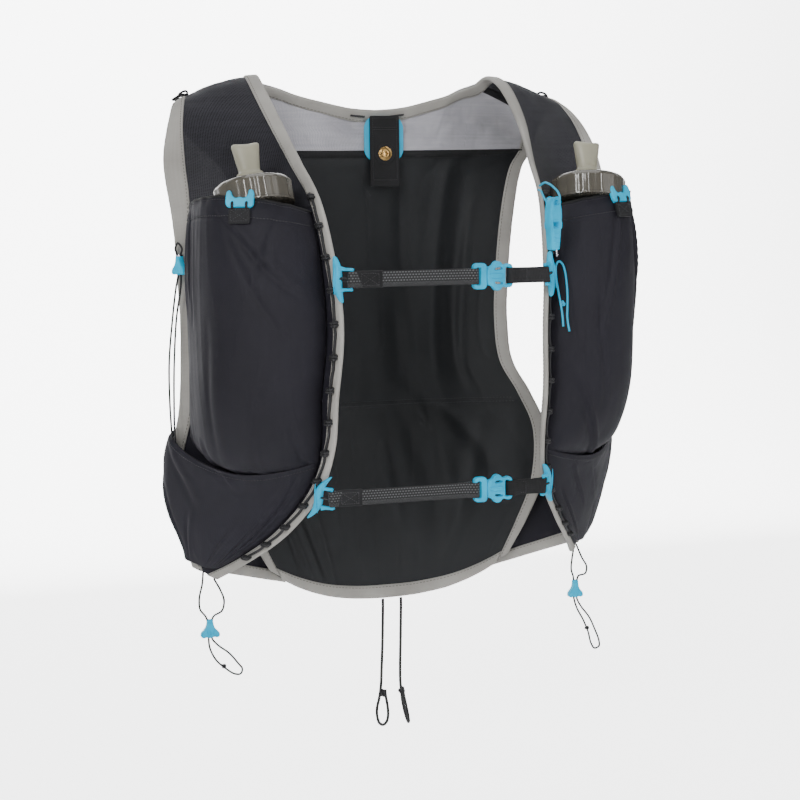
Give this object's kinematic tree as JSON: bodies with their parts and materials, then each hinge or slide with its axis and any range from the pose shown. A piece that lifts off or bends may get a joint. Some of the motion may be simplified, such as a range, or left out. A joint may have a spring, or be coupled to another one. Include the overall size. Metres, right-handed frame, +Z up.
{
  "type": "running hydration vest",
  "caption": "Worn-shape running vest: laced front edges, chest straps with buckles, soft flasks in stretch pockets, mesh yoke, back panel with an open stretch pack and hem cords.",
  "frame": {"origin": "midpoint between the two shoulder contacts, where the vest rests on the wearer's shoulders", "axes": "+X to the wearer's left, +Y to the wearer's back, +Z up"},
  "size_m": [0.4003, 0.2459, 0.5847],
  "materials": {
    "front_panel_left": "matt stretch woven cloth",
    "front_strap_left": "dark open mesh",
    "front_panel_right": "matt stretch woven cloth",
    "front_strap_right": "dark open mesh",
    "back_yoke": "sheer pale mesh",
    "back_panel": "matt stretch woven cloth",
    "neck_binding": "soft pale grey folded binding",
    "armhole_binding_left": "soft pale grey folded binding",
    "armhole_binding_right": "soft pale grey folded binding",
    "hem_binding": "soft pale grey folded binding",
    "side_wing_left": "matt stretch cloth",
    "wing_binding_left": "soft pale grey folded binding",
    "side_wing_right": "matt stretch cloth",
    "wing_binding_right": "soft pale grey folded binding",
    "back_pack": "matt stretch woven cloth",
    "bottle_pocket_left": "stretch cloth with a soft sheen",
    "lower_pocket_left": "stretch cloth with a soft sheen",
    "bottle_pocket_right": "stretch cloth with a soft sheen",
    "lower_pocket_right": "stretch cloth with a soft sheen",
    "flask_left": "clear film full of water",
    "flask_cap_left": "smoky translucent plastic",
    "bite_valve_left": "translucent silicone",
    "flask_right": "clear film full of water",
    "flask_cap_right": "smoky translucent plastic",
    "bite_valve_right": "translucent silicone",
    "lacing_left": "braided cord",
    "lacing_right": "braided cord",
    "rail_clip_upper_left": "cyan moulded plastic",
    "rail_clip_lower_left": "cyan moulded plastic",
    "rail_clip_upper_right": "cyan moulded plastic",
    "rail_clip_lower_right": "cyan moulded plastic",
    "buckle_frame_upper": "cyan moulded plastic",
    "buckle_body_upper": "cyan moulded plastic",
    "chest_strap_upper": "ladder woven webbing",
    "short_strap_upper": "ladder woven webbing",
    "buckle_frame_lower": "cyan moulded plastic",
    "buckle_body_lower": "cyan moulded plastic",
    "chest_strap_lower": "ladder woven webbing",
    "short_strap_lower": "ladder woven webbing",
    "mouth_tab_left": "webbing tab",
    "pocket_hook_left": "cyan moulded plastic",
    "mouth_tab_right": "webbing tab",
    "pocket_hook_right": "cyan moulded plastic",
    "corner_lock_right": "cyan moulded plastic",
    "corner_lock_left": "cyan moulded plastic",
    "side_lock": "cyan moulded plastic",
    "hem_cord_right": "elastic braided cord",
    "hem_cord_left": "elastic braided cord",
    "corner_cord_right": "elastic braided cord",
    "corner_cord_left": "elastic braided cord",
    "side_cord": "elastic braided cord",
    "whistle": "cyan moulded plastic",
    "whistle_cord": "cyan braided cord",
    "zip_slider": "bright plated metal",
    "pull_cord": "cyan braided cord",
    "neck_hanger": "cyan webbing loop",
    "neck_tab": "webbing tab",
    "neck_snap": "aged brass",
    "shoulder_tab_left": "webbing loop",
    "shoulder_tab_right": "webbing loop"
  },
  "bodies": {
    "root": {"front_panel_left": "front_panel_left", "front_strap_left": "front_strap_left", "front_panel_right": "front_panel_right", "front_strap_right": "front_strap_right", "back_yoke": "back_yoke", "back_panel": "back_panel", "neck_binding": "neck_binding", "armhole_binding_left": "armhole_binding_left", "armhole_binding_right": "armhole_binding_right", "hem_binding": "hem_binding", "side_wing_left": "side_wing_left", "wing_binding_left": "wing_binding_left", "side_wing_right": "side_wing_right", "wing_binding_right": "wing_binding_right", "back_pack": "back_pack", "bottle_pocket_left": "bottle_pocket_left", "lower_pocket_left": "lower_pocket_left", "bottle_pocket_right": "bottle_pocket_right", "lower_pocket_right": "lower_pocket_right", "flask_left": "flask_left", "flask_cap_left": "flask_cap_left", "bite_valve_left": "bite_valve_left", "flask_right": "flask_right", "flask_cap_right": "flask_cap_right", "bite_valve_right": "bite_valve_right", "lacing_left": "lacing_left", "lacing_right": "lacing_right", "rail_clip_upper_left": "rail_clip_upper_left", "rail_clip_lower_left": "rail_clip_lower_left", "rail_clip_upper_right": "rail_clip_upper_right", "rail_clip_lower_right": "rail_clip_lower_right", "buckle_frame_upper": "buckle_frame_upper", "buckle_body_upper": "buckle_body_upper", "chest_strap_upper": "chest_strap_upper", "short_strap_upper": "short_strap_upper", "buckle_frame_lower": "buckle_frame_lower", "buckle_body_lower": "buckle_body_lower", "chest_strap_lower": "chest_strap_lower", "short_strap_lower": "short_strap_lower", "mouth_tab_left": "mouth_tab_left", "pocket_hook_left": "pocket_hook_left", "mouth_tab_right": "mouth_tab_right", "pocket_hook_right": "pocket_hook_right", "corner_lock_right": "corner_lock_right", "corner_lock_left": "corner_lock_left", "side_lock": "side_lock", "hem_cord_right": "hem_cord_right", "hem_cord_left": "hem_cord_left", "corner_cord_right": "corner_cord_right", "corner_cord_left": "corner_cord_left", "side_cord": "side_cord", "whistle": "whistle", "whistle_cord": "whistle_cord", "zip_slider": "zip_slider", "pull_cord": "pull_cord", "neck_hanger": "neck_hanger", "neck_tab": "neck_tab", "neck_snap": "neck_snap", "shoulder_tab_left": "shoulder_tab_left", "shoulder_tab_right": "shoulder_tab_right"}
  },
  "joints": []
}
